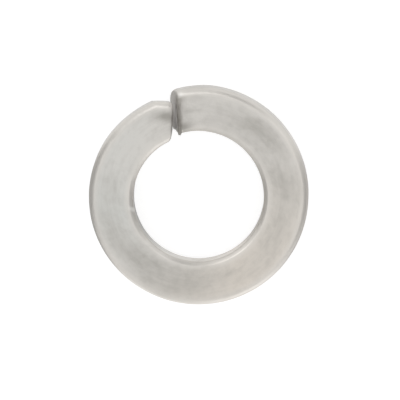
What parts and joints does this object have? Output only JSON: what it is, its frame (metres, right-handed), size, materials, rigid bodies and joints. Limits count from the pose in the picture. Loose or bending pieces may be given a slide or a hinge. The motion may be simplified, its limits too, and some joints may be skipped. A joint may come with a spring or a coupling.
{
  "type": "spring lock washer",
  "caption": "Split ring of rounded flat steel wire, sprung open into one low turn, that sits under a nut or a screw head and keeps it from working loose.",
  "frame": {"origin": "centre of the bore: on its axis, halfway between the lowest and the highest point of the washer", "axes": "+Z along the bore's axis, +Y away from the split, so that the split faces -Y and the low end is on its -X side"},
  "size_m": [0.0176, 0.0175, 0.0044],
  "materials": {
    "plated_steel": "spring steel, tumbled and zinc plated, satin light grey"
  },
  "bodies": {
    "root": {"washer": "plated_steel"}
  },
  "joints": []
}
